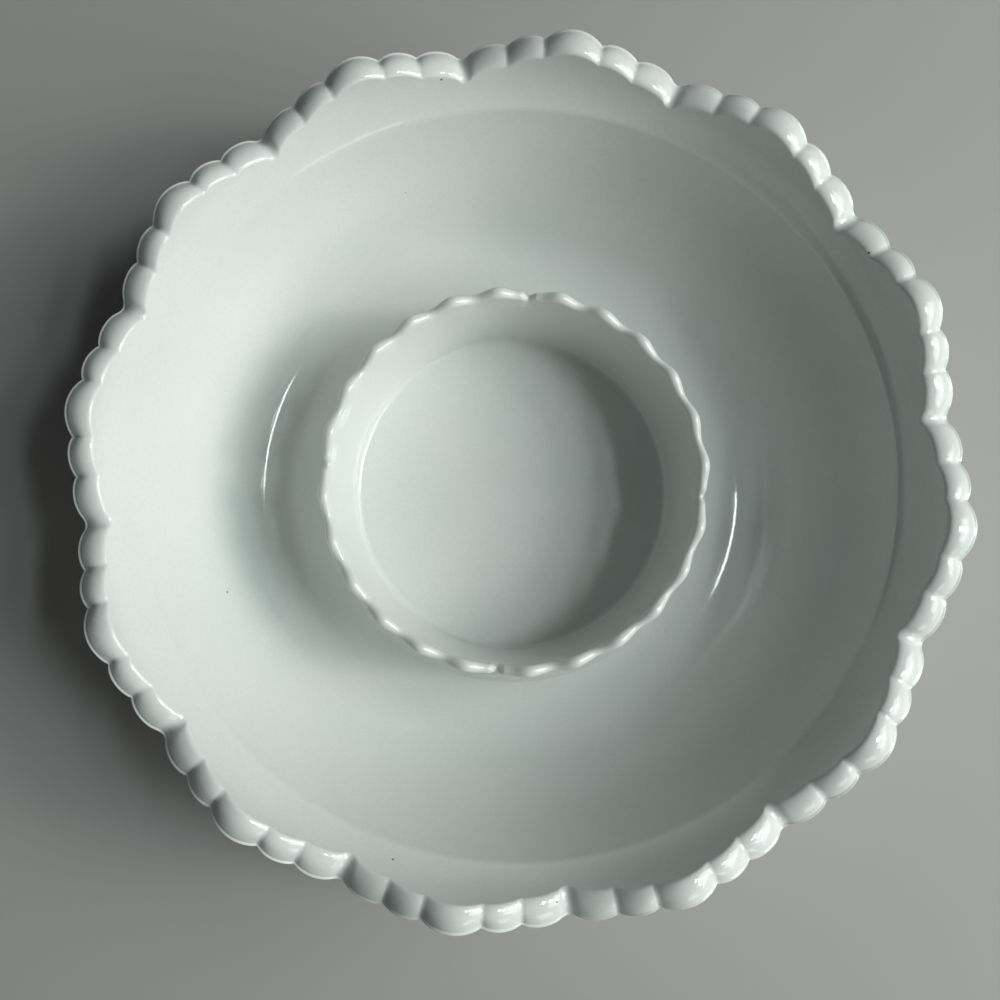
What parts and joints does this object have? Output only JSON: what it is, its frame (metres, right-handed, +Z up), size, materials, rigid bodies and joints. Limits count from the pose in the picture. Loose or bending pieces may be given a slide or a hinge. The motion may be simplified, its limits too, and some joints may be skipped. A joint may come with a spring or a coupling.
{
  "type": "scalloped serving dish with dip cup",
  "caption": "Round white glass serving dish with a lobed scalloped edge, a deep ring-shaped trough and a raised dip cup in the middle.",
  "frame": {"origin": "centre of the foot ring's flat face, where the dish stands on the table", "axes": "+Z up along the dish's axis, +X through the middle of one scallop's big lobe, +Y through the middle of another"},
  "size_m": [0.3, 0.3, 0.083],
  "materials": {
    "opal_glass": "gloss, opaque white pressed glass"
  },
  "bodies": {
    "root": {"foot_ring": "opal_glass", "cup_floor": "opal_glass", "cup_wall": "opal_glass", "cup_rim": "opal_glass", "trough": "opal_glass", "flared_rim": "opal_glass", "lobed_edge": "opal_glass"}
  },
  "joints": []
}
